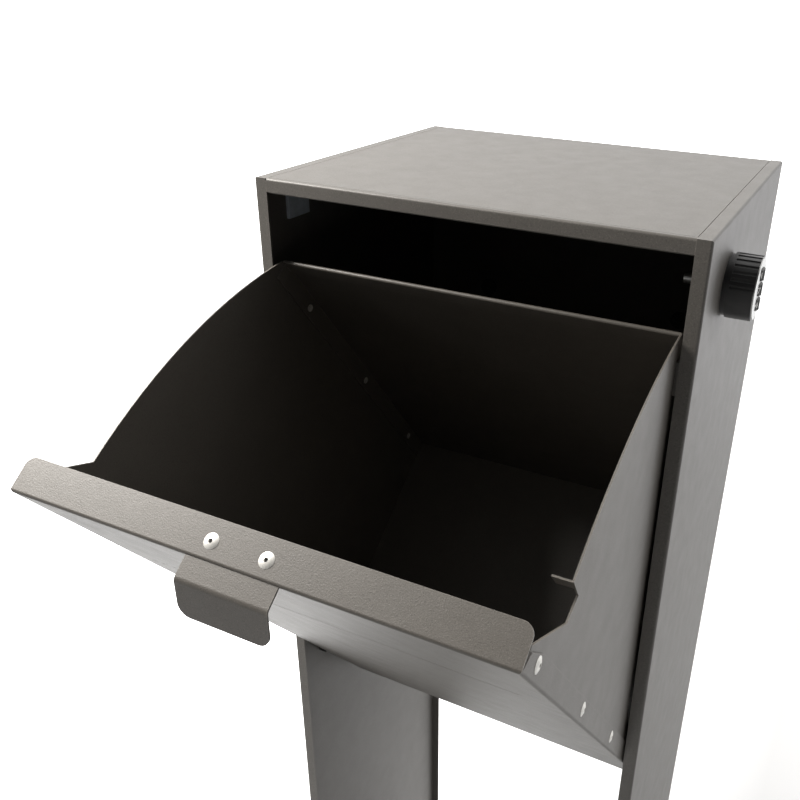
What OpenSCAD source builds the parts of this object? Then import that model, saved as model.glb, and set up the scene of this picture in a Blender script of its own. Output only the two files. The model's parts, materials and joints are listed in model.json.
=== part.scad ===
// Free-standing parcel drop box: a sheet-metal cabinet on two side legs with a tilting hopper.
// Millimetres, +Z up, front towards -Y. The origin is on the ground, midway between the foot bolts.
// The hopper is drawn upright (closed) and turned about its pivot to its open rest position.

/* [Cabinet] */
// Overall width across the side panels
body_w = 360; // [320:1:440]
// Overall depth from the front face to the back face
body_d = 300; // [250:1:360]
// Overall height from the ground to the top
body_h = 1150; // [900:5:1400]
// Thickness of the cabinet sheet
sheet = 1.5; // [1:0.1:2]
// Width of the flanges round the front opening and along the top
frame_w = 11; // [9:0.5:18]
// Height of the rail above the opening
header_h = 10.5; // [8:0.5:18]
// Depth of the header strip that shows on top
header_top = 4; // [3.5:0.5:8]
// Depth of the flanges that are turned down inside the top
turn_down = 12; // [10:1:20]
// Gap along the seams between neighbouring panels
seam = 0.5; // [0.2:0.1:0.6]
// Outside radius of the bends
bend_r = 2; // [1:0.1:2.4]

/* [Hopper] */
// Thickness of the hopper sheet
hop_sheet = 1.2; // [0.9:0.1:1.6]
// Gap between the front panel and the edge of the opening on each side
hop_gap = 1.5; // [1:0.1:3]
// How far the closed front panel stands behind the front face
recess = 34; // [30:1:60]
// Distance from the top of the box down to the lip of the closed hopper
lip_gap = 17; // [15:1:30]
// Height of the front panel
panel_h = 578; // [480:1:640]
// Width of the lip on top of the front panel
lip_w = 24; // [18:1:32]
// Corner radius at the back of the lip
lip_corner = 7; // [3:1:9]
// Gap between the closed hopper and the back face of the cabinet
back_gap = 6; // [5:0.5:12]
// Gap between the swinging hopper and the barrel of the lock
swing_gap = 4.9; // [1.5:0.1:6]
// Height of the hopper floor above the bottom edge of the front panel
floor_up = 88; // [80:1:120]
// Width of the folded edge flanges of the hopper
edge_w = 16; // [12:1:20]
// Pivot axis behind the outside of the front panel
pivot_back = 21; // [21:1:30]
// Pivot axis above the bottom edge of the front panel
pivot_up = 93; // [85:1:120]
// How far the rear panel's top edge stands behind the front face when open
rear_stand = 11.4; // [8:0.2:20]
// Radius of the curved top edge of the side plates
arc_r = 454; // [400:1:520]
// Length of the scored line across the front panel
score_w = 282; // [200:1:300]
// Distance of the scored line below the lip
score_down = 117; // [80:1:160]

/* [Handle] */
// Width of the handle tab
tab_w = 62; // [50:1:100]
// Thickness of the handle tab
tab_t = 1.5; // [1.2:0.1:2]
// How far the tab stands out in front of the lip before its bend
tab_out = 12; // [8:1:16]
// Length of the sloping grip
tab_len = 25; // [18:1:30]
// Slope of the grip below the lip
tab_deg = 51; // [40:1:70]
// Corner radius of the grip
tab_corner = 8; // [4:1:10]
// Distance between the two handle rivets
tab_rivets = 37; // [25:1:44]

/* [Pivots, stops and buffers] */
// Radius of the pivot pins
pin_r = 4; // [3:0.5:5]
// Radial running clearance of pins in their bores
run_clear = 0.05; // [0.02:0.01:0.1]
// Depth of the pivot blocks from front to back
block_d = 38; // [38:1:60]
// Height of the pivot blocks
block_h = 24; // [20:1:40]
// Thickness of the rubber stop pads
pad_t = 2; // [1:0.5:3]
// Play left at a stop or a buffer
stop_play = 0.3; // [0.2:0.1:0.6]
// Radius of the buffers on the back panel
buffer_r = 9; // [6:1:14]

/* [Lock] */
// Lock axis behind the front face
lock_back = 81; // [80:1:110]
// Lock axis below the top
lock_down = 52; // [50:0.5:70]
// Radius of the turning knob
knob_r = 24; // [21:0.5:26]
// Thickness of the fixed rose under the knob
rose_t = 3; // [2:0.5:5]
// Distance from the side panel to the front of the knob
knob_out = 22; // [17:0.5:24]
// Radius of the threaded barrel
barrel_r = 9.5; // [8:0.5:11]
// Radius of the number dials
dial_r = 8; // [7:0.5:8.5]
// Thickness of each number dial
dial_t = 8; // [6:0.5:9]
// Distance from one dial to the next
dial_pitch = 11.2; // [10.5:0.1:12]
// Length of the cam from its axis
cam_len = 24; // [20:1:28]
// Width of the cam
cam_w = 16; // [12:1:18]

/* [Feet] */
// Width of the foot plates
foot_w = 52; // [45:1:70]
// Thickness of the foot plates
foot_t = 3; // [2:0.5:5]
// Distance between the anchor holes across the box
anchor_x = 300; // [270:5:310]
// Distance between the anchor holes from front to back
anchor_y = 200; // [160:5:220]
// Radius of the anchor holes
anchor_r = 5.5; // [4:0.5:7]

/* [Rivets] */
// Radius of the rivet shanks
rivet_r = 2.4; // [1.6:0.1:2.4]
// Radius of the rivet heads
head_r = 4.75; // [4:0.25:5]
// Height of the rivet heads
head_h = 1.3; // [0.8:0.1:1.5]

/* [Hidden] */
$fn = 64;

charcoal = "#5b5955";
dark_charcoal = "#4a4946";

half_w = body_w / 2;
front_y = -body_d / 2;
back_y = body_d / 2;
open_half = half_w - frame_w;
web_in = half_w - sheet;
back_in = back_y - 2 * sheet;

hop_half = open_half - hop_gap;
plate_out = hop_half - hop_sheet;
plate_in = plate_out - hop_sheet;
hop_depth = body_d - recess - back_gap;
pivot_y = front_y + recess + pivot_back;
hop_low = body_h - lip_gap - panel_h;
pivot_z = hop_low + pivot_up;
floor_low = floor_up - 18;

// The rear panel ends where its top edge swings past the lock
lock_off = [lock_back - recess - pivot_back, body_h - lock_down - pivot_z];
swing_r = norm(lock_off) - barrel_r - swing_gap;
reach_back = hop_depth - pivot_back;
rear_top = pivot_up + sqrt(swing_r * swing_r - reach_back * reach_back);

// The open angle brings the rear panel's top edge to rear_stand behind the front face
reach_up = rear_top - pivot_up;
reach = sqrt(reach_back * reach_back + reach_up * reach_up);
open_deg = acos((rear_stand - recess - pivot_back) / reach) - atan2(reach_up, reach_back);
rear_top_z = pivot_z + reach_back * sin(open_deg) + reach_up * cos(open_deg);

// Top edge of the side plates: an arc from arc_start to arc_end, each [behind the front, height]
arc_front = 40;
arc_rise = 3.1;
arc_start = [arc_front,
    pivot_up + sqrt(pow(swing_r + arc_rise, 2) - pow(arc_front - pivot_back, 2))];
arc_end = [hop_depth - hop_sheet, rear_top];
arc_half = norm(arc_end - arc_start) / 2;
arc_dir = (arc_end - arc_start) / (2 * arc_half);
arc_centre = (arc_start + arc_end) / 2
    + [arc_dir[1], -arc_dir[0]] * sqrt(arc_r * arc_r - arc_half * arc_half);

// Handle tab and the slot that it comes through
tab_top = panel_h - hop_sheet;
tab_bend_r = 3;
tab_in = lip_w - 3;
arc_steps = 16;

// Lock: heights along its axis are measured outwards from the side panel
lock_z = body_h - lock_down;
cam_t = 2;
cam_high = plate_in - half_w - 0.4;
cam_low = cam_high - cam_t;
spindle_r = 5;
thread_r = 4;
spindle_end = cam_low - 14;
dial_axis = knob_out + 3 - dial_r;
axle_r = 1.5;
dial_room = 0.4;
face_t = 0.8;
lock_a = lock_back - recess;
cam_play = 2;
strike_w = 12;
notch_back = lock_a + cam_w / 2 + cam_play;
notch_low = panel_h - (lock_down - lip_gap + cam_len + 8);

rivet_room = 0.05;
block_in = hop_half + head_h + 0.6;
stud_r = 2.5;
stud_off = block_d / 2 - 7;

front_rivet_b = [for (down = [25, 173, 321, 469]) panel_h - down];
front_rivet_a = 9.5;
rear_rivet_b = [floor_up + 42, (floor_up + rear_top) / 2 - 8, rear_top - 58];
rear_rivet_a = hop_depth - 2 * hop_sheet - edge_w / 2;
floor_rivet_a = [for (share = [0.25, 0.5, 0.75]) hop_depth * share];
floor_rivet_x = [-0.6 * plate_in, 0, 0.6 * plate_in];
floor_rivet_b = floor_up - 9;
top_rivet_z = body_h - 7.5;
top_rivet_y = [front_y + 40, 0, back_y - 40];
top_rivet_x = [-0.6 * open_half, 0, 0.6 * open_half];
back_h = lip_gap + panel_h + 15;
back_rivet_z = [for (k = [0:3]) body_h - 35 - k * (back_h - 70) / 3];
foot_rivet_y = [-80, 0, 80];
foot_rivet_z = 25;
foot_up = 40;
foot_sheet = 2;

// ---- shared shapes ----

// Places children drawn on the upright hopper: [x, behind the front panel, above its bottom edge]
module on_hopper() {
    translate([0, pivot_y, pivot_z])
        rotate([open_deg, 0, 0])
            translate([0, -pivot_back, -pivot_up]) children();
}

// Places children drawn along the lock axis: +Z points out of the right side panel
module on_lock() {
    translate([half_w, front_y + lock_back, lock_z]) rotate([0, 90, 0]) children();
}

// Plate from x0 to x1 whose outline is drawn in [Y, Z]
module plate_x(x0, x1) {
    translate([x0, 0, 0]) rotate([90, 0, 90]) linear_extrude(x1 - x0) children();
}

// Box between two corners
module block(low, high) {
    translate(low) cube(high - low);
}

// Round bar along X, Y or Z between two positions on its axis
module bar_x(x0, x1, y, z, r) {
    translate([x0, y, z]) rotate([0, 90, 0]) cylinder(r = r, h = x1 - x0);
}
module bar_y(y0, y1, x, z, r) {
    translate([x, y0, z]) rotate([-90, 0, 0]) cylinder(r = r, h = y1 - y0);
}

// Cutter that rounds a corner along Z to radius r; the solid lies towards -X and -Y
module corner_cut(r, length) {
    difference() {
        translate([-r, -r, 0]) cube([r + 1, r + 1, length]);
        translate([-r, -r, -1]) cylinder(r = r, h = length + 2);
    }
}

// The same along a whole bend, past both of its ends
module round_edge(length) {
    translate([0, 0, -1]) corner_cut(bend_r, length + 2);
}

// Points along an arc about a centre, between two angles
function arc_points(centre, r, from, to) =
    [for (k = [0:arc_steps]) centre + r * [cos(from + (to - from) * k / arc_steps),
        sin(from + (to - from) * k / arc_steps)]];

// Angle of an offset from the first axis
function direction(offset) = atan2(offset[1], offset[0]);

// Blind rivet along Z: its head stands on z = 0 and its shank reaches down through the grip
module rivet(grip) {
    back = 0.8;
    rotate_extrude()
        difference() {
            union() {
                translate([0, -grip - back]) square([rivet_r, grip + back]);
                translate([0, -grip - back]) square([rivet_r + 0.8, back]);
                intersection() {
                    square([head_r, head_h]);
                    translate([0, head_h - 2.2 * head_r]) circle(r = 2.2 * head_r, $fn = 128);
                }
            }
            translate([0, -1]) square([1.3, head_h + 2]);
        }
}
module rivet_px(x, y, z, grip) {
    translate([x, y, z]) rotate([0, 90, 0]) rivet(grip);
}
module rivet_py(x, y, z, grip) {
    translate([x, y, z]) rotate([-90, 0, 0]) rivet(grip);
}
module both_sides() {
    children();
    mirror([1, 0, 0]) children();
}

// ---- cabinet ----

module top_rivet_holes() {
    r = rivet_r + rivet_room;
    both_sides()
        for (y = top_rivet_y) bar_x(open_half - 5, open_half + 5, y, top_rivet_z, r);
    for (x = top_rivet_x) {
        bar_y(front_y + 2, front_y + 12, x, top_rivet_z, r);
        bar_y(back_y - 8, back_y + 1, x, top_rivet_z, r);
    }
}

module back_rivet_holes() {
    both_sides()
        for (z = back_rivet_z)
            bar_y(back_y - 8, back_y + 1, half_w - frame_w / 2, z, rivet_r + rivet_room);
}

module foot_rivet_holes() {
    both_sides()
        for (y = foot_rivet_y)
            bar_x(web_in - 5, half_w + 1, y, foot_rivet_z, rivet_r + rivet_room);
}

// Right-hand side panel and leg: a web with front, rear and top flanges
module side_panel() {
    color(charcoal)
    difference() {
        union() {
            block([web_in, front_y, 0], [half_w, back_y, body_h]);
            block([open_half, front_y, 0], [half_w, front_y + sheet, body_h]);
            block([open_half, back_y - sheet, 0], [half_w, back_y, body_h]);
            block([open_half, front_y, body_h - sheet], [half_w, back_y, body_h]);
            block([open_half, front_y + header_top, body_h - turn_down],
                [open_half + sheet, back_in - seam, body_h]);
        }
        translate([half_w, front_y, 0]) mirror([0, 1, 0]) round_edge(body_h);
        translate([half_w, back_y, 0]) round_edge(body_h);
        translate([half_w, back_y, body_h]) rotate([90, 0, 0]) round_edge(body_d);
        top_rivet_holes();
        back_rivet_holes();
        foot_rivet_holes();
    }
}

module side_panel_left() {
    mirror([1, 0, 0]) side_panel();
}

module side_panel_right() {
    color(charcoal)
    difference() {
        side_panel();
        on_lock() translate([0, 0, -5]) cylinder(r = barrel_r + 0.1, h = 10);
    }
}

// Lid pan that drops between the top flanges; only its rear flange is on the outside
module top_panel() {
    half = open_half - seam;
    front = front_y + header_top + seam;
    color(charcoal)
    difference() {
        union() {
            block([-half, front, body_h - sheet], [half, back_y, body_h]);
            block([-half, front, body_h - turn_down], [half, front + sheet, body_h]);
            block([-half, back_y - sheet, body_h - turn_down], [half, back_y, body_h]);
            both_sides()
                block([half - sheet, front, body_h - turn_down], [half, back_in - seam, body_h]);
        }
        translate([-half, back_y, body_h]) rotate([0, 90, 0]) rotate([0, 0, 90])
            round_edge(2 * half);
        top_rivet_holes();
    }
}

module header_rail() {
    back = front_y + header_top;
    color(charcoal)
    difference() {
        union() {
            block([-open_half, front_y, body_h - header_h], [open_half, front_y + sheet, body_h]);
            block([-open_half, front_y, body_h - sheet], [open_half, back, body_h]);
            block([-open_half, back - sheet, body_h - turn_down], [open_half, back, body_h]);
        }
        translate([-open_half, front_y, body_h]) rotate([0, 90, 0]) mirror([0, 1, 0])
            rotate([0, 0, 90]) round_edge(2 * open_half);
        top_rivet_holes();
    }
}

module back_panel() {
    half = web_in - seam;
    low = body_h - back_h;
    brace = 35;
    color(dark_charcoal)
    difference() {
        union() {
            block([-half, back_in, low], [half, back_y - sheet, body_h - sheet]);
            block([-half, back_in - brace, low], [half, back_y - sheet, low + sheet]);
            block([-half, back_in - brace, low - turn_down], [half, back_in - brace + sheet, low + sheet]);
        }
        top_rivet_holes();
        back_rivet_holes();
    }
}

module foot_plate() {
    color("dimgray")
    difference() {
        union() {
            block([web_in - foot_w, front_y + sheet + seam, 0],
                [web_in, back_y - sheet - seam, foot_t]);
            block([web_in - foot_sheet, front_y + sheet + seam, 0],
                [web_in, back_y - sheet - seam, foot_up]);
        }
        for (y = [-anchor_y / 2, anchor_y / 2])
            translate([anchor_x / 2, y, -1]) cylinder(r = anchor_r, h = foot_t + 2);
        foot_rivet_holes();
    }
}

module foot_plate_left() {
    mirror([1, 0, 0]) foot_plate();
}

module foot_plate_right() {
    foot_plate();
}

module foot_rivets() {
    color("silver")
    both_sides()
        for (y = foot_rivet_y) rivet_px(half_w, y, foot_rivet_z, sheet + foot_sheet);
}

module top_rivets() {
    grip = 2 * sheet + seam;
    color("silver") {
        both_sides()
            for (y = top_rivet_y)
                translate([open_half - seam - sheet, y, top_rivet_z]) rotate([0, -90, 0]) rivet(grip);
        for (x = top_rivet_x) {
            rivet_py(x, front_y + header_top + seam + sheet, top_rivet_z, grip);
            rivet_py(x, back_y, top_rivet_z, 2 * sheet);
        }
    }
}

module back_rivets() {
    color("silver")
    both_sides()
        for (z = back_rivet_z) rivet_py(half_w - frame_w / 2, back_y, z, 2 * sheet);
}

// Plastic block on the right-hand side panel that carries a hopper pin
module pivot_block() {
    nut_pocket = 3.4;
    color("#262626")
    difference() {
        block([block_in, pivot_y - block_d / 2, pivot_z - block_h / 2],
            [web_in, pivot_y + block_d / 2, pivot_z + block_h / 2]);
        bar_x(block_in - 1, web_in + 1, pivot_y, pivot_z, pin_r + run_clear);
        for (side = [-1, 1]) {
            bar_x(block_in - 1, web_in + 1, pivot_y + side * stud_off, pivot_z, stud_r + 0.1);
            bar_x(block_in - 1, block_in + nut_pocket, pivot_y + side * stud_off, pivot_z, 5.2);
        }
    }
}

module pivot_block_left() {
    mirror([1, 0, 0]) pivot_block();
}

module pivot_block_right() {
    pivot_block();
}

// Weld studs on the side panels, with the nuts that hold the pivot blocks
module pivot_block_nuts() {
    nut_r = 4.6;
    nut_h = 2.8;
    color("silver")
    both_sides()
        for (side = [-1, 1])
            translate([block_in + 0.4, pivot_y + side * stud_off, pivot_z]) rotate([0, 90, 0])
                union() {
                    cylinder(r = stud_r, h = web_in - block_in - 0.4);
                    translate([0, 0, 0.2]) cylinder(r = nut_r, h = nut_h, $fn = 6);
                }
}

module closing_buffers() {
    depth = back_gap - 2 * sheet - stop_play;
    color("black")
    both_sides()
        bar_y(back_in - depth, back_in, 0.65 * plate_in,
            hop_low + rear_top - 30, buffer_r);
}

module side_pad() {
    color("lightsteelblue")
    block([-web_in, front_y + 36, body_h - 41], [3 - web_in, front_y + 64, body_h - 21]);
}

module lock_barrel() {
    color("#2a2a2a")
    on_lock()
    difference() {
        union() {
            cylinder(r = knob_r - 1.5, h = rose_t);
            translate([0, 0, cam_high + 0.2]) cylinder(r = barrel_r, h = rose_t - cam_high - 0.2);
        }
        translate([0, 0, cam_low - 1]) cylinder(r = spindle_r, h = rose_t - cam_low + 2);
    }
}

module lock_nut() {
    color("silver")
    on_lock()
    difference() {
        translate([0, 0, -sheet - 5]) cylinder(r = 12.7, h = 5, $fn = 6);
        translate([0, 0, -sheet - 6]) cylinder(r = barrel_r, h = 7);
    }
}

// ---- hopper ----

module front_rivet_holes() {
    both_sides()
        for (b = front_rivet_b)
            bar_x(plate_in - 2, hop_half + 2, front_rivet_a, b, rivet_r + rivet_room);
}

module rear_rivet_holes() {
    both_sides()
        for (b = rear_rivet_b)
            bar_x(plate_in - 4, plate_out + 2, rear_rivet_a, b, rivet_r + rivet_room);
}

module floor_rivet_holes() {
    r = rivet_r + rivet_room;
    both_sides()
        for (a = floor_rivet_a) bar_x(plate_in - 4, plate_out + 2, a, floor_rivet_b, r);
    for (x = floor_rivet_x) bar_y(hop_depth - 5, hop_depth + 1, x, floor_rivet_b, r);
}

module handle_rivet_holes() {
    for (x = [-tab_rivets / 2, tab_rivets / 2])
        translate([x, lip_w / 2 - 1, panel_h - 5]) cylinder(r = rivet_r + rivet_room, h = 8);
}

// Front panel with its lip, side flanges and bottom return
module hopper_front() {
    return_w = 12;
    color(charcoal)
    on_hopper()
    difference() {
        union() {
            block([-hop_half, 0, 0], [hop_half, hop_sheet, panel_h]);
            block([-hop_half, 0, panel_h - hop_sheet], [hop_half, lip_w, panel_h]);
            block([-hop_half, 0, 0], [hop_half, return_w, hop_sheet]);
            both_sides() plate_x(plate_out, hop_half)
                polygon([[0, 0], [edge_w, 0], [edge_w, panel_h - 30], [edge_w - 4, panel_h - 7],
                    [0, panel_h - hop_sheet / 2]]);
        }
        translate([-hop_half, 0, panel_h]) rotate([0, 90, 0]) mirror([0, 1, 0])
            rotate([0, 0, 90]) round_edge(2 * hop_half);
        translate([-hop_half, 0, 0]) rotate([0, 90, 0]) mirror([0, 1, 0]) round_edge(2 * hop_half);
        both_sides() translate([hop_half, 0, 0]) mirror([0, 1, 0]) round_edge(panel_h);
        both_sides() translate([hop_half, lip_w, panel_h - 3]) corner_cut(lip_corner, 5);
        block([-tab_w / 2 - 0.3, -1, tab_top - tab_t - 0.1], [tab_w / 2 + 0.3, hop_sheet + 0.1, tab_top]);
        block([-score_w / 2, -1, panel_h - score_down - 0.5],
            [score_w / 2, 0.5, panel_h - score_down + 0.5]);
        front_rivet_holes();
        handle_rivet_holes();
    }
}

// Outline of the side plates in [behind the front panel, above its bottom edge]
module side_outline() {
    lip_end = [15, panel_h - 7];
    top_edge = arc_points(arc_centre, arc_r, direction(arc_end - arc_centre),
        direction(arc_start - arc_centre));
    polygon(concat([[hop_sheet, floor_low], [arc_end[0], floor_low]], top_edge,
        [lip_end, [hop_sheet, lip_end[1]]]));
}

// Notch that clears the lock
module notch_outline() {
    polygon([[15, panel_h - 7], [lock_a - 8, notch_low + 5], [notch_back - 1, notch_low],
        [notch_back + 1, notch_low + 20], [notch_back + 1, panel_h], [15, panel_h]]);
}

module hopper_side_left() {
    color(charcoal)
    on_hopper()
    difference() {
        plate_x(-plate_out, -plate_in) side_outline();
        front_rivet_holes();
        rear_rivet_holes();
        floor_rivet_holes();
    }
}

// A strike folded in from the rear edge of the notch is held by the cam, which turns inside the plate
module hopper_side_right() {
    color(charcoal)
    on_hopper()
    difference() {
        union() {
            plate_x(plate_in, plate_out)
                difference() {
                    side_outline();
                    notch_outline();
                }
            block([plate_in - strike_w, notch_back + 1, notch_low + 4],
                [plate_out, notch_back + 1 + hop_sheet, notch_low + 18]);
        }
        front_rivet_holes();
        rear_rivet_holes();
        floor_rivet_holes();
    }
}

// Rear panel with a rolled top edge and forward side flanges
module hopper_rear() {
    back = hop_depth;
    hem_r = 1.8;
    color(dark_charcoal)
    on_hopper()
    difference() {
        union() {
            block([-plate_in, back - hop_sheet, floor_low], [plate_in, back, rear_top - hem_r]);
            bar_x(-plate_in, plate_in, back - hem_r, rear_top - hem_r, hem_r);
            block([-plate_in, back - 2 * hem_r, rear_top - 12],
                [plate_in, back - 2 * hem_r + hop_sheet, rear_top - hem_r]);
            both_sides() plate_x(plate_in - hop_sheet, plate_in)
                polygon([[back - edge_w - hop_sheet, floor_up + 1], [back, floor_up + 1],
                    [back, rear_top - hem_r], [back - edge_w - hop_sheet, rear_top - hem_r]]);
            block([-plate_out, back - hop_sheet, floor_low], [plate_out, back, rear_top - 40]);
        }
        rear_rivet_holes();
        floor_rivet_holes();
    }
}

// Floor pan with its four edges turned down
module hopper_floor() {
    drop = 15;
    back = hop_depth - hop_sheet;
    color(dark_charcoal)
    on_hopper()
    difference() {
        block([-plate_in, hop_sheet, floor_up - drop], [plate_in, back, floor_up]);
        block([hop_sheet - plate_in, 2 * hop_sheet, floor_up - drop - 1],
            [plate_in - hop_sheet, back - hop_sheet, floor_up - hop_sheet]);
        floor_rivet_holes();
    }
}

module front_rivets() {
    color("silver")
    on_hopper() both_sides()
        for (b = front_rivet_b) rivet_px(hop_half, front_rivet_a, b, 2 * hop_sheet);
}

module rear_rivets() {
    color("silver")
    on_hopper() both_sides()
        for (b = rear_rivet_b) rivet_px(plate_out, rear_rivet_a, b, 2 * hop_sheet);
}

module floor_rivets() {
    color("silver")
    on_hopper() {
        both_sides()
            for (a = floor_rivet_a) rivet_px(plate_out, a, floor_rivet_b, 2 * hop_sheet);
        for (x = floor_rivet_x) rivet_py(x, hop_depth, floor_rivet_b, 2 * hop_sheet);
    }
}

// Handle: a plate under the lip that comes out through a slot and bends down to a grip
module handle_tab() {
    bend = [-tab_out, tab_top - tab_t - tab_bend_r];
    outer = tab_bend_r + tab_t;
    turned = 90 + tab_deg;
    grip_dir = [-cos(tab_deg), -sin(tab_deg)];
    grip = (tab_len - tab_bend_r) * grip_dir;
    outer_side = arc_points(bend, outer, 90, turned);
    inner_side = arc_points(bend, tab_bend_r, turned, 90);
    profile = concat([[tab_in, tab_top]], outer_side, [outer_side[arc_steps] + grip],
        [inner_side[0] + grip], inner_side, [[tab_in, tab_top - tab_t]]);
    color(charcoal)
    on_hopper()
    difference() {
        plate_x(-tab_w / 2, tab_w / 2) polygon(profile);
        both_sides()
            translate(concat([tab_w / 2], bend)) rotate([tab_deg, 0, 0])
                translate([0, tab_bend_r - tab_len, 0]) mirror([0, 1, 0])
                    corner_cut(tab_corner, outer + 1);
        handle_rivet_holes();
    }
}

module handle_rivets() {
    color("silver")
    on_hopper()
        for (x = [-tab_rivets / 2, tab_rivets / 2])
            translate([x, lip_w / 2 - 1, panel_h]) rivet(hop_sheet + tab_t);
}

// Pins welded to the outside of the side plates; they turn in the pivot blocks
module pivot_pins() {
    collar_r = 4.8;
    color("silver")
    on_hopper() both_sides() {
        bar_x(plate_out, web_in - 1.5, pivot_back, pivot_up, pin_r);
        bar_x(plate_out, hop_half, pivot_back, pivot_up, collar_r);
    }
}

// Angles on the side plates that meet the back of the front flanges when the hopper is open
module stop_brackets() {
    strike = front_y + sheet + stop_play + pad_t;
    thick = 2;
    leg = 18;
    high = rear_top_z - 20;
    color(dark_charcoal)
    both_sides() {
        block([plate_out, strike, high - 25], [web_in - 2.5, strike + thick, high]);
        block([plate_out, strike, high - 25], [plate_out + thick, strike + leg, high]);
    }
}

module stop_pads() {
    back = front_y + sheet + stop_play + pad_t;
    color("black")
    both_sides()
        block([open_half + 0.5, back - pad_t, rear_top_z - 43], [web_in - 3, back, rear_top_z - 22]);
}

// ---- turning part of the lock ----

// Places one dial, numbered -1, 0 or 1 from top to bottom
module at_dial(number) {
    on_lock() translate([number * dial_pitch, 0, dial_axis]) rotate([0, 90, 0]) children();
}

module lock_knob() {
    groove_r = 1.5;
    low = rose_t + 0.2;
    color("#1c1c1c")
    difference() {
        on_lock() translate([0, 0, low]) cylinder(r = knob_r, h = knob_out - low, $fn = 96);
        on_lock() for (turn = [100:13:260])
            rotate([0, 0, turn]) translate([knob_r + 0.6, 0, low + 2])
                cylinder(r = groove_r, h = knob_out, $fn = 24);
        on_lock() for (number = [-1:1])
            translate([number * dial_pitch - dial_t / 2 - dial_room / 2, -dial_r - dial_room,
                dial_axis - dial_r - dial_room])
                cube([dial_t + dial_room, 2 * (dial_r + dial_room), knob_out]);
        at_dial(0) translate([0, 0, -knob_r + 3]) cylinder(r = axle_r, h = 2 * knob_r - 6);
    }
}

module lock_face() {
    window_y = sqrt(dial_r * dial_r - pow(knob_out - dial_axis, 2)) + dial_room;
    color("lightgray")
    on_lock()
    difference() {
        translate([0, 0, knob_out]) cylinder(r = knob_r - 1.5, h = face_t, $fn = 96);
        for (number = [-1:1])
            translate([number * dial_pitch - dial_t / 2 - dial_room / 2, -window_y, knob_out - 1])
                cube([dial_t + dial_room, 2 * window_y, face_t + 2]);
    }
}

module lock_spindle() {
    color("silver")
    on_lock() {
        translate([0, 0, cam_high]) cylinder(r = spindle_r - run_clear, h = rose_t + 0.2 - cam_high);
        translate([0, 0, spindle_end]) cylinder(r = thread_r, h = cam_high - spindle_end);
    }
}

// The cam points to the front while it lets the hopper go, and turns down to hold it
module lock_cam() {
    hub_r = 8.5;
    tip = cam_w / 2 - cam_len;
    color("silver")
    on_lock()
    difference() {
        translate([0, 0, cam_low]) union() {
            cylinder(r = hub_r, h = cam_t);
            translate([-cam_w / 2, tip, 0]) cube([cam_w, -tip, cam_t]);
            translate([0, tip, 0]) cylinder(r = cam_w / 2, h = cam_t);
        }
        translate([0, 0, cam_low - 1]) cylinder(r = thread_r, h = cam_t + 2);
    }
}

module cam_nut() {
    color("gainsboro")
    on_lock()
    difference() {
        translate([0, 0, cam_low - 5]) cylinder(r = 7.5, h = 5, $fn = 6);
        translate([0, 0, cam_low - 6]) cylinder(r = thread_r, h = 7);
    }
}

module dial_axle() {
    color("silver")
    at_dial(0) translate([0, 0, -knob_r + 3.5]) cylinder(r = axle_r, h = 2 * knob_r - 7);
}

// Ten-sided grip cut round the edge of a number dial
module number_dial(number) {
    scallop_r = 0.9;
    color("#161616")
    at_dial(number)
    difference() {
        translate([0, 0, -dial_t / 2]) cylinder(r = dial_r, h = dial_t);
        translate([0, 0, -dial_t]) cylinder(r = axle_r + run_clear, h = 2 * dial_t);
        for (turn = [18:36:342])
            rotate([0, 0, turn]) translate([dial_r + 0.4, 0, -dial_t])
                cylinder(r = scallop_r, h = 2 * dial_t, $fn = 16);
    }
}

module dial_upper() {
    number_dial(-1);
}

module dial_middle() {
    number_dial(0);
}

module dial_lower() {
    number_dial(1);
}

// ---- nodes ----

side_panel_left();
side_panel_right();
top_panel();
header_rail();
back_panel();
foot_plate_left();
foot_plate_right();
foot_rivets();
top_rivets();
back_rivets();
pivot_block_left();
pivot_block_right();
pivot_block_nuts();
closing_buffers();
side_pad();
lock_barrel();
lock_nut();
hopper_front();
hopper_side_left();
hopper_side_right();
hopper_rear();
hopper_floor();
front_rivets();
rear_rivets();
floor_rivets();
handle_tab();
handle_rivets();
pivot_pins();
stop_brackets();
stop_pads();
lock_knob();
lock_face();
lock_spindle();
lock_cam();
cam_nut();
dial_axle();
dial_upper();
dial_middle();
dial_lower();
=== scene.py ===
import json
import math

import bmesh
import bpy
import numpy
from mathutils import Matrix, Quaternion, Vector


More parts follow.
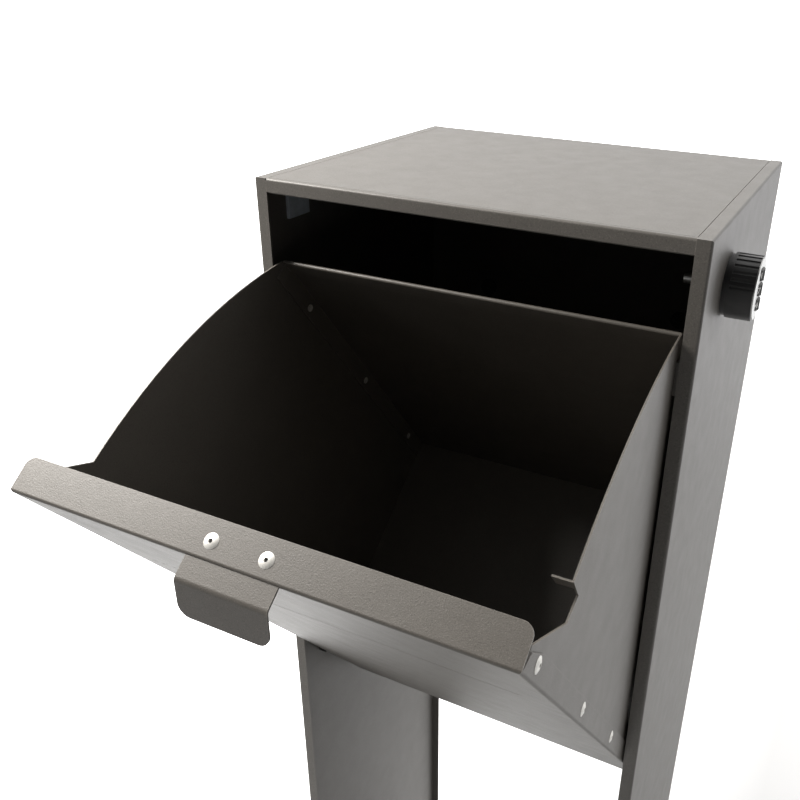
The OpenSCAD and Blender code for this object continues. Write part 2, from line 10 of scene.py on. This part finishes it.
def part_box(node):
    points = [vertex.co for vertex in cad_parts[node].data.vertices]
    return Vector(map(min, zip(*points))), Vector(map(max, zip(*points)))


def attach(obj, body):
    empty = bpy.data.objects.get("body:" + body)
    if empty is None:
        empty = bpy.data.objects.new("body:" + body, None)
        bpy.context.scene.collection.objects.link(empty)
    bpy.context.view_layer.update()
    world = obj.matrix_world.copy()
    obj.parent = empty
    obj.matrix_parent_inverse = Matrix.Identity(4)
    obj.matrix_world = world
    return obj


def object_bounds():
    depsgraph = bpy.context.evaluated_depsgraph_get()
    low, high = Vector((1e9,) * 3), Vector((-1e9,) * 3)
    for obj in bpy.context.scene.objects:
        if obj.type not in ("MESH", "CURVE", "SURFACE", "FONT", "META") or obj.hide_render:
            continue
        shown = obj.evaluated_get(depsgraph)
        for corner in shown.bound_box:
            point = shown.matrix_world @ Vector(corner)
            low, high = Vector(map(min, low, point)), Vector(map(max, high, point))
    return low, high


# Looks of the parcel drop box. Everything is in metres, in the frame's own axes.
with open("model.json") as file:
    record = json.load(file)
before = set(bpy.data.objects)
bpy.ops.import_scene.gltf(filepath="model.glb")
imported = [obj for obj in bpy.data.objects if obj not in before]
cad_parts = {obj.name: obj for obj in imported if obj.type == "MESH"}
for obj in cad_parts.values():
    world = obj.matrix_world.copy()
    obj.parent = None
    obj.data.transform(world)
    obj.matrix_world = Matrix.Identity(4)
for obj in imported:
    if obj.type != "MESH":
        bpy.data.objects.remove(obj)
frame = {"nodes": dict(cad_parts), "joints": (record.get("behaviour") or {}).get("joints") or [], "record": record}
cad_low, cad_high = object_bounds()
nodes = frame["nodes"]

MM = 0.001

# The hopper's tilt at rest, half the length of its scored line, and how closely a point counts as on it.
TILT = next(joint for joint in frame["joints"] if joint["name"] == "hopper_tilt")
OPEN = -math.radians(TILT["range_deg"][0])
SCORE_HALF = 141 * MM
SCORE_NEAR = 0.05 * MM
# How far the black strip of painted shade stands up from the scored line's bottom.
SCORE_FILL = 0.3 * MM

# Points of a rivet node closer than this to one another belong to the same rivet.
RIVET_REACH = 12 * MM
RIVET_NODES = {
    "hopper": ("handle_rivets", "front_rivets", "rear_rivets", "floor_rivets"),
    "cabinet": ("foot_rivets", "top_rivets", "back_rivets"),
}

# The number each dial shows, and how it is drawn.
DIALS_SHOWN = {"dial_upper": 2, "dial_middle": 8, "dial_lower": 5}
DIGITS = 10
DIGIT_SIZE = 6.2 * MM
DIGIT_HALF_DEPTH = 0.03 * MM
DIGIT_CUTS = 4
DIGIT_CUT_STEP = 0.08

# How strongly the floor glows, and how bright the studio is before and behind the box.
FLOOR_REACH = 40.0
FLOOR_GLOW_LEFT = 2.4
FLOOR_GLOW_RIGHT = 0.25
FLOOR_GLOW_SIDE = 0.35
WORLD_FRONT = 0.11
WORLD_BACK = 1.9
WORLD_SIDE = 0.6
WARM_WHITE = (1.0, 0.965, 0.92)
COOL_WHITE = (0.96, 0.96, 1.0)

# The camera: its place (height above the box's top), angles in degrees, and lens.
CAMERA_X, CAMERA_Y, CAMERA_ABOVE = 0.2712, -0.6961, 0.1486
CAMERA_AZIMUTH, CAMERA_ELEVATION, CAMERA_ROLL = 25.17, 26.5, 1.41
CAMERA_LENS = 38.9
CAMERA_SHIFT = (-0.0903, 0.0027)


# ---- node helpers ----

class Material:
    """A node material with one Principled shader and short names for adding nodes."""

    def __init__(self, name):
        self.data = bpy.data.materials.new(name)
        self.data.use_nodes = True
        self.tree = self.data.node_tree
        self.shader = self.tree.nodes["Principled BSDF"]
        self.place = self.add("ShaderNodeTexCoord").outputs["Object"]

    def add(self, kind, **settings):
        made = self.tree.nodes.new(kind)
        for key, value in settings.items():
            setattr(made, key, value)
        return made

    def set(self, socket, value):
        """Links value into socket when it is a socket, and stores it there when it is a number."""
        if isinstance(value, bpy.types.NodeSocket):
            self.tree.links.new(value, socket)
        else:
            socket.default_value = value

    def look(self, **values):
        """Sets inputs of the shader, written with underscores for spaces."""
        for key, value in values.items():
            self.set(self.shader.inputs[key.replace("_", " ")], value)

    def math(self, kind, a, b=0.0, clamp=False):
        made = self.add("ShaderNodeMath", operation=kind, use_clamp=clamp)
        self.set(made.inputs[0], a)
        self.set(made.inputs[1], b)
        return made.outputs[0]

    def stretched(self, scale):
        """Object coordinates stretched by scale, for grain that runs one way."""
        made = self.add("ShaderNodeMapping")
        self.set(made.inputs["Vector"], self.place)
        made.inputs["Scale"].default_value = scale
        return made.outputs["Vector"]

    def noise(self, size, detail=2.0, place=None, rough=0.5):
        """Noise between 0 and 1 whose features are about size metres wide."""
        made = self.add("ShaderNodeTexNoise")
        self.set(made.inputs["Vector"], place or self.place)
        made.inputs["Scale"].default_value = 1 / size
        made.inputs["Detail"].default_value = detail
        made.inputs["Roughness"].default_value = rough
        return made.outputs["Fac"]

    def cells(self, size):
        """A random value for each cell about size metres wide."""
        made = self.add("ShaderNodeTexVoronoi")
        self.set(made.inputs["Vector"], self.place)
        made.inputs["Scale"].default_value = 1 / size
        spread = self.add("ShaderNodeSeparateColor")
        self.set(spread.inputs[0], made.outputs["Color"])
        return spread.outputs[0]

    def span(self, value, low, high, out_low, out_high):
        """Value from low..high to out_low..out_high, held at both ends."""
        made = self.add("ShaderNodeMapRange")
        self.set(made.inputs["Value"], value)
        for socket, number in zip(list(made.inputs)[1:5], (low, high, out_low, out_high)):
            socket.default_value = number
        return made.outputs[0]

    def mix(self, share, first, second, blend="MIX"):
        made = self.add("ShaderNodeMix", data_type="RGBA", blend_type=blend)
        self.set(made.inputs["Factor"], share)
        self.set(made.inputs["A"], first)
        self.set(made.inputs["B"], second)
        return made.outputs["Result"]

    def bump(self, height, depth, strength, under=None):
        made = self.add("ShaderNodeBump")
        made.inputs["Strength"].default_value = strength
        made.inputs["Distance"].default_value = depth
        self.set(made.inputs["Height"], height)
        if under is not None:
            self.set(made.inputs["Normal"], under)
        return made.outputs["Normal"]

    def edges(self, radius):
        """1 along sharp edges within radius metres of them, 0 on flat faces."""
        soft = self.add("ShaderNodeBevel", samples=4)
        soft.inputs["Radius"].default_value = radius
        sharp = self.add("ShaderNodeNewGeometry")
        dot = self.add("ShaderNodeVectorMath", operation="DOT_PRODUCT")
        self.set(dot.inputs[0], soft.outputs["Normal"])
        self.set(dot.inputs[1], sharp.outputs["Normal"])
        return self.span(dot.outputs["Value"], 0.75, 0.995, 1.0, 0.0)


def color(r, g, b):
    return (r, g, b, 1.0)


def shade(base, factor, lift=0.0):
    """A colour's channels times factor plus lift, held at 1."""
    return tuple(min(1.0, factor * c + lift) for c in base[:3]) + (1.0,)


# ---- materials ----

def powder_coat(name, base, grain, gloss):
    """Fine-texture powder coat: pebbled grain, pale flecks, faint mottling, and paler edges that are partly rubbed
    paint and partly painted edge highlight.
    """
    m = Material(name)
    pebble = m.noise(grain, 3.0)
    fleck = m.span(m.noise(0.8 * grain, 1.0), 0.58, 0.72, 0.0, 1.0)
    pore = m.span(m.noise(1.1 * grain, 1.0), 0.30, 0.42, 1.0, 0.0)
    cloud = m.noise(0.05, 3.0)
    handling = m.noise(0.018, 4.0)
    tone = m.mix(m.span(cloud, 0.3, 0.7, 0.0, 1.0), shade(base, 0.92), base)
    tone = m.mix(m.math("MULTIPLY", fleck, 0.4), tone, shade(base, 1.9))
    tone = m.mix(m.math("MULTIPLY", pore, 0.5), tone, shade(base, 0.5))
    # Paler along sharp edges: partly rubbed paint, partly a painted highlight where the edges would catch the
    # light.
    edge_wear_and_highlight = m.math("MULTIPLY", m.edges(0.9 * MM), m.span(handling, 0.35, 0.7, 0.25, 0.8))
    tone = m.mix(edge_wear_and_highlight, tone, shade(base, 2.6))
    rough = m.math("ADD", m.span(handling, 0.3, 0.7, gloss - 0.02, gloss + 0.03),
                   m.math("MULTIPLY", pebble, 0.06))
    waves = m.bump(m.noise(7 * grain, 1.0), 0.25 * MM, 0.12)
    m.look(Base_Color=tone, Roughness=rough, IOR=1.5, Specular_IOR_Level=0.55,
           Normal=m.bump(pebble, 0.22 * MM, 0.5, waves))
    return m.data


def plated_steel(name, base, gloss):
    """Zinc-plated steel: faint spangle, rolling marks and a few dull patches."""
    m = Material(name)
    spangle = m.cells(3.5 * MM)
    marks = m.noise(0.7 * MM, 2.0, m.stretched((1.0, 1.0, 0.05)))
    patch = m.noise(9 * MM, 4.0)
    low = shade(base, 0.72)
    tone = m.mix(m.span(spangle, 0.0, 1.0, 0.0, 0.35), base, low)
    tone = m.mix(m.span(patch, 0.55, 0.75, 0.0, 0.6), tone, low)
    rough = m.math("ADD", m.span(patch, 0.3, 0.7, gloss, gloss + 0.18),
                   m.math("MULTIPLY", spangle, 0.06))
    m.look(Base_Color=tone, Metallic=1.0, Roughness=rough, Normal=m.bump(marks, 0.05 * MM, 0.35))
    return m.data


def rivet_aluminium():
    """Bright tumbled aluminium, dulled in spots."""
    m = Material("rivet_aluminium")
    pits = m.noise(0.5 * MM, 3.0)
    dull = m.noise(2.5 * MM, 3.0)
    bright, grey = color(0.80, 0.785, 0.75), color(0.62, 0.61, 0.58)
    tone = m.mix(m.span(dull, 0.35, 0.7, 0.0, 1.0), bright, grey)
    m.look(Base_Color=tone, Metallic=0.6, Roughness=m.span(dull, 0.3, 0.7, 0.38, 0.55),
           Normal=m.bump(pits, 0.06 * MM, 0.4))
    return m.data


def brushed_silver():
    """Satin aluminium with fine brush lines along Y."""
    m = Material("brushed_silver")
    lines = m.noise(0.25 * MM, 2.0, m.stretched((1.0, 0.03, 1.0)))
    stain = m.noise(6 * MM, 3.0)
    bright, grey = color(0.50, 0.50, 0.49), color(0.36, 0.36, 0.36)
    tone = m.mix(m.span(lines, 0.3, 0.7, 0.0, 0.5), bright, grey)
    m.look(Base_Color=tone, Metallic=1.0, Roughness=m.span(stain, 0.3, 0.7, 0.26, 0.4),
           Anisotropic=0.4, Normal=m.bump(lines, 0.04 * MM, 0.3))
    return m.data


def moulded(name, base, grain, gloss, wear):
    """Moulded plastic or die-cast shell with spark-eroded grain, and paler edges that are partly wear and partly
    painted edge highlight.
    """
    m = Material(name)
    skin = m.noise(grain, 2.0)
    flow = m.noise(6 * MM, 3.0)
    tone = m.mix(m.span(flow, 0.3, 0.7, 0.0, 1.0), shade(base, 0.82), base)
    # Paler along sharp edges by the factor wear: partly worn edges, partly a painted highlight where the edges
    # would catch the light.
    tone = m.mix(m.math("MULTIPLY", m.edges(0.5 * MM), 0.6), tone, shade(base, wear, 0.02))
    m.look(Base_Color=tone, Roughness=m.span(flow, 0.3, 0.7, gloss - 0.04, gloss + 0.08),
           Normal=m.bump(skin, 0.08 * MM, 0.4))
    return m.data


def rubber():
    """Matt black rubber with a bloom of pale dust."""
    m = Material("black_rubber")
    dust = m.noise(1.5 * MM, 4.0)
    black, dusty = color(0.018, 0.018, 0.018), color(0.07, 0.068, 0.065)
    tone = m.mix(m.span(dust, 0.5, 0.8, 0.0, 0.5), black, dusty)
    m.look(Base_Color=tone, Roughness=m.span(dust, 0.3, 0.7, 0.75, 0.92),
           Normal=m.bump(m.noise(0.6 * MM, 3.0), 0.15 * MM, 0.5))
    return m.data


def dial_paint():
    """White ink of the dial numbers, slightly worn."""
    m = Material("dial_paint")
    wear = m.noise(0.7 * MM, 4.0)
    white, faded = color(0.86, 0.86, 0.84), color(0.4, 0.4, 0.39)
    tone = m.mix(m.span(wear, 0.55, 0.75, 0.0, 0.5), white, faded)
    m.look(Base_Color=tone, Roughness=m.span(wear, 0.3, 0.7, 0.45, 0.6),
           Normal=m.bump(wear, 0.02 * MM, 0.3))
    return m.data


LOOKS = {
    "cabinet_paint": powder_coat("cabinet_paint", color(0.087, 0.080, 0.071), 1.0 * MM, 0.44),
    "hopper_paint": powder_coat("hopper_paint", color(0.090, 0.082, 0.072), 0.8 * MM, 0.42),
    "rivet_aluminium": rivet_aluminium(),
    "zinc_steel": plated_steel("zinc_steel", color(0.66, 0.66, 0.65), 0.3),
    "bearing_plastic": moulded("bearing_plastic", color(0.02, 0.02, 0.02), 0.4 * MM, 0.42, 2.0),
    "pad_plastic": moulded("pad_plastic", color(0.42, 0.47, 0.52), 0.5 * MM, 0.5, 1.15),
    "black_rubber": rubber(),
    "lock_black": moulded("lock_black", color(0.014, 0.014, 0.015), 0.35 * MM, 0.33, 2.5),
    "lock_silver": brushed_silver(),
}
# Dark plated steel of the rivet stems, partly the stems' own steel and partly painted shade for the depth of the
# rivet holes.
stem_steel_and_hole_shade = plated_steel("stem_steel_and_hole_shade", color(0.22, 0.22, 0.23), 0.35)
digit_paint = dial_paint()
# Near-black material of the strip of painted shade in the scored line.
score_shade_black = moulded("score_shade_black", color(0.012, 0.012, 0.012), 0.3 * MM, 0.6, 1.5)

for part in frame["record"]["subparts"]:
    mesh = nodes[part["node"]].data
    mesh.materials.clear()
    mesh.materials.append(LOOKS[part["material_slot"]])


# ---- pieces that ride on the frame ----

def new_piece(name, build, material, body):
    """A mesh piece filled by build(bmesh), riding on a body."""
    work = bmesh.new()
    build(work)
    bmesh.ops.recalc_face_normals(work, faces=work.faces)
    mesh = bpy.data.meshes.new(name)
    work.to_mesh(mesh)
    work.free()
    mesh.materials.append(material)
    mesh.shade_smooth()
    piece = bpy.data.objects.new(name, mesh)
    bpy.context.scene.collection.objects.link(piece)
    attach(piece, body)
    return piece


def rivet_seats(node):
    """(place, axis) of each rivet of a node: the centre of its head's rim and the way it faces."""
    groups = []
    for vertex in nodes[node].data.vertices:
        home = next((g for g in groups if (g[0] - vertex.co).length < RIVET_REACH), None)
        if home is None:
            groups.append([vertex.co])
        else:
            home.append(vertex.co)
    seats = []
    for group in groups:
        low = Vector(map(min, *group))
        high = Vector(map(max, *group))
        middle = (low + high) / 2
        axis = rivet_axis(group, middle)
        along = [(co - middle).dot(axis) for co in group]
        rim = max(group, key=lambda co: (co - middle - axis * (co - middle).dot(axis)).length)
        height = (rim - middle).dot(axis)
        if height < (max(along) + min(along)) / 2:
            axis, height = -axis, -height
        seats.append((middle + axis * height, axis))
    return seats


def rivet_axis(group, middle):
    """The direction about which the points of a rivet are round."""
    spread = Matrix(((0.0,) * 3,) * 3)
    for co in group:
        d = co - middle
        for i in range(3):
            for j in range(3):
                spread[i][j] += d[i] * d[j]
    values, vectors = numpy.linalg.eigh(numpy.array(spread))
    odd = 0 if values[1] - values[0] > values[2] - values[1] else 2
    return Vector(vectors[:, odd])


def lathe(work, profile, place, axis, steps=20):
    """Adds a closed turned solid: profile has (radius, height) pairs, the first and last on the axis."""
    turn = axis.to_track_quat("Z", "Y")
    angles = [2 * math.pi * k / steps for k in range(steps)]
    rings = []
    for radius, height in profile:
        if radius == 0:
            rings.append([work.verts.new(place + turn @ Vector((0, 0, height)))] * steps)
            continue
        ring = [Vector((radius * math.cos(a), radius * math.sin(a), height)) for a in angles]
        rings.append([work.verts.new(place + turn @ corner) for corner in ring])
    for lower, upper in zip(rings, rings[1:]):
        for k in range(steps):
            corners = [lower[k], lower[(k + 1) % steps], upper[(k + 1) % steps], upper[k]]
            work.faces.new(list(dict.fromkeys(corners)))


def mandrels(node, body):
    """The snapped steel stems left inside the hollow rivets of a node, with a rounded broken end; their dark steel
    also stands in as painted shade for the depth of the rivets' shallow holes.
    """
    stem = 1.22 * MM
    foot = -0.95 * MM
    profile = [(0, foot), (stem, foot), (stem, -0.35 * MM), (0.9 * stem, -0.22 * MM),
               (0.5 * stem, -0.14 * MM), (0.2 * stem, -0.05 * MM), (0, -0.02 * MM)]

    def build(work):
        for place, axis in rivet_seats(node):
            lathe(work, profile, place, axis)

    return new_piece(node + "_stems", build, stem_steel_and_hole_shade, body)


def wrapped_digit(text, centre, radius, turn, size):
    """Mesh data of one number, wrapped round a dial that stands along Z."""
    curve = bpy.data.curves.new("digit", "FONT")
    curve.body = text
    curve.size = size
    curve.align_x, curve.align_y = "CENTER", "CENTER"
    curve.extrude = DIGIT_HALF_DEPTH
    curve.resolution_u = 3
    carrier = bpy.data.objects.new("digit", curve)
    work = bmesh.new()
    work.from_mesh(carrier.to_mesh())
    carrier.to_mesh_clear()
    bpy.data.objects.remove(carrier)
    bmesh.ops.remove_doubles(work, verts=work.verts, dist=1e-7)
    for k in range(-DIGIT_CUTS, DIGIT_CUTS + 1):
        geometry = work.verts[:] + work.edges[:] + work.faces[:]
        cut = (k * size * DIGIT_CUT_STEP, 0, 0)
        bmesh.ops.bisect_plane(work, geom=geometry, plane_co=cut, plane_no=(1, 0, 0))
    for vertex in work.verts:
        angle = turn + vertex.co.x / radius
        reach = radius + vertex.co.z
        vertex.co = centre + Vector((reach * math.cos(angle), reach * math.sin(angle), vertex.co.y))
    return work


def dial_numbers(body, shown):
    """The ten numbers on a dial, with the number shown facing outwards."""
    low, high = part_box(body)
    centre, radius = (low + high) / 2, (high.x - low.x) / 2

    def build(work):
        for k in range(DIGITS):
            turn = 2 * math.pi * k / DIGITS
            digit = wrapped_digit(str((shown + k) % DIGITS), centre, radius, turn, DIGIT_SIZE)
            scrap = bpy.data.meshes.new("scrap")
            digit.to_mesh(scrap)
            digit.free()
            work.from_mesh(scrap)
            bpy.data.meshes.remove(scrap)

    piece = new_piece(body + "_numbers", build, digit_paint, body)
    piece.data.shade_flat()
    return piece


def score_shade_strip():
    """A near-black strip in the bottom of the line scored across the hopper's front panel: painted shade of the
    groove.
    """
    outward = Vector((0, -math.cos(OPEN), -math.sin(OPEN)))
    ends = [v.co.copy() for v in nodes["hopper_front"].data.vertices
            if abs(abs(v.co.x) - SCORE_HALF) < SCORE_NEAR]
    inmost = min(co.dot(outward) for co in ends)
    floor = [co for co in ends if co.dot(outward) < inmost + SCORE_NEAR]
    below = min(floor, key=lambda co: co.z)
    above = max(floor, key=lambda co: co.z)
    lift = SCORE_FILL * outward

    def build(work):
        rings = []
        for x in (-SCORE_HALF, SCORE_HALF):
            corners = [Vector((x, co.y, co.z)) for co in (below, above, above + lift, below + lift)]
            rings.append([work.verts.new(co) for co in corners])
        for k in range(4):
            work.faces.new([rings[0][k], rings[0][(k + 1) % 4], rings[1][(k + 1) % 4], rings[1][k]])
        work.faces.new(rings[0])
        work.faces.new(rings[1])

    piece = new_piece("score_shade_strip", build, score_shade_black, "hopper")
    piece.data.shade_flat()


score_shade_strip()
for body, rivet_nodes in RIVET_NODES.items():
    for node in rivet_nodes:
        mandrels(node, body)
for body, shown in DIALS_SHOWN.items():
    dial_numbers(body, shown)


# ---- stage, light and camera ----

def stage_floor():
    """A white floor that glows a little, as an over-lit paper sweep does."""
    corners = [(x * FLOOR_REACH, y * FLOOR_REACH, 0) for x, y in ((-1, -1), (1, -1), (1, 1), (-1, 1))]
    mesh = bpy.data.meshes.new("floor")
    mesh.from_pydata(corners, [], [(0, 1, 2, 3)])
    floor = bpy.data.objects.new("floor", mesh)
    bpy.context.scene.collection.objects.link(floor)
    m = Material("floor_paint")
    split = m.add("ShaderNodeSeparateXYZ")
    m.set(split.inputs[0], m.place)
    behind = m.span(split.outputs["Y"], -0.5, 0.3, 0.05, 1.0)
    across = m.span(split.outputs["X"], -0.8, 0.3, FLOOR_GLOW_LEFT, FLOOR_GLOW_RIGHT)
    beside = m.math("ADD", across, m.span(split.outputs["X"], 0.2, 0.7, 0.0, FLOOR_GLOW_SIDE))
    m.look(Base_Color=color(0.55, 0.55, 0.55), Roughness=0.9, Emission_Color=color(1.0, 1.0, 1.0),
           Emission_Strength=m.math("MULTIPLY", behind, beside))
    mesh.materials.append(m.data)


def softbox(name, place, target, size, power, tint):
    """A rectangular area light at place that shines at target."""
    data = bpy.data.lights.new(name, "AREA")
    data.color = tint
    data.shape = "RECTANGLE"
    data.size, data.size_y = size
    data.energy = power
    lamp = bpy.data.objects.new(name, data)
    bpy.context.scene.collection.objects.link(lamp)
    lamp.location = place
    lamp.rotation_mode = "QUATERNION"
    lamp.rotation_quaternion = (Vector(place) - Vector(target)).to_track_quat("Z", "Y")


def studio_world():
    """A pale studio that is bright behind the box and dim behind the viewer."""
    world = bpy.data.worlds.new("studio")
    world.use_nodes = True
    tree = world.node_tree
    background = tree.nodes["Background"]
    coordinate = tree.nodes.new("ShaderNodeTexCoord")
    split = tree.nodes.new("ShaderNodeSeparateXYZ")
    tree.links.new(coordinate.outputs["Generated"], split.inputs[0])
    both = tree.nodes.new("ShaderNodeMath")
    both.operation = "MULTIPLY"
    ramps = (("Y", -0.35, 0.45, WORLD_FRONT, WORLD_BACK), ("X", 0.1, 0.6, 1.0, WORLD_SIDE))
    for factor, (axis, *numbers) in zip(both.inputs, ramps):
        ramp = tree.nodes.new("ShaderNodeMapRange")
        ramp.interpolation_type = "SMOOTHSTEP"
        tree.links.new(split.outputs[axis], ramp.inputs["Value"])
        for key, number in zip(("From Min", "From Max", "To Min", "To Max"), numbers):
            ramp.inputs[key].default_value = number
        tree.links.new(ramp.outputs[0], factor)
    tree.links.new(both.outputs[0], background.inputs["Strength"])
    background.inputs["Color"].default_value = color(1.0, 0.99, 0.975)
    bpy.context.scene.world = world


def camera():
    """The photograph's viewing angle, from the front and a little to the right, looking down."""
    azimuth, elevation = math.radians(CAMERA_AZIMUTH), math.radians(CAMERA_ELEVATION)
    roll = math.radians(CAMERA_ROLL)
    data = bpy.data.cameras.new("camera")
    data.sensor_width = 36.0
    data.lens = CAMERA_LENS
    data.shift_x, data.shift_y = CAMERA_SHIFT
    cam = bpy.data.objects.new("camera", data)
    bpy.context.scene.collection.objects.link(cam)
    cam.location = (CAMERA_X, CAMERA_Y, cad_high.z + CAMERA_ABOVE)
    level = math.cos(elevation)
    back = Vector((math.sin(azimuth) * level, -math.cos(azimuth) * level, math.sin(elevation)))
    cam.rotation_mode = "QUATERNION"
    cam.rotation_quaternion = back.to_track_quat("Z", "Y") @ Quaternion((0, 0, 1), roll)
    bpy.context.scene.camera = cam


bpy.context.scene.view_settings.view_transform = "Standard"
stage_floor()
studio_world()
softbox("left_softbox", place=(-0.85, -0.40, 1.72), target=(-0.1, -0.4, 1.0), size=(0.6, 0.6),
        power=36, tint=WARM_WHITE)
softbox("right_softbox", place=(1.45, 2.1, 0.6), target=(0.17, -0.25, 0.75), size=(0.9, 1.6),
        power=9, tint=COOL_WHITE)
camera()
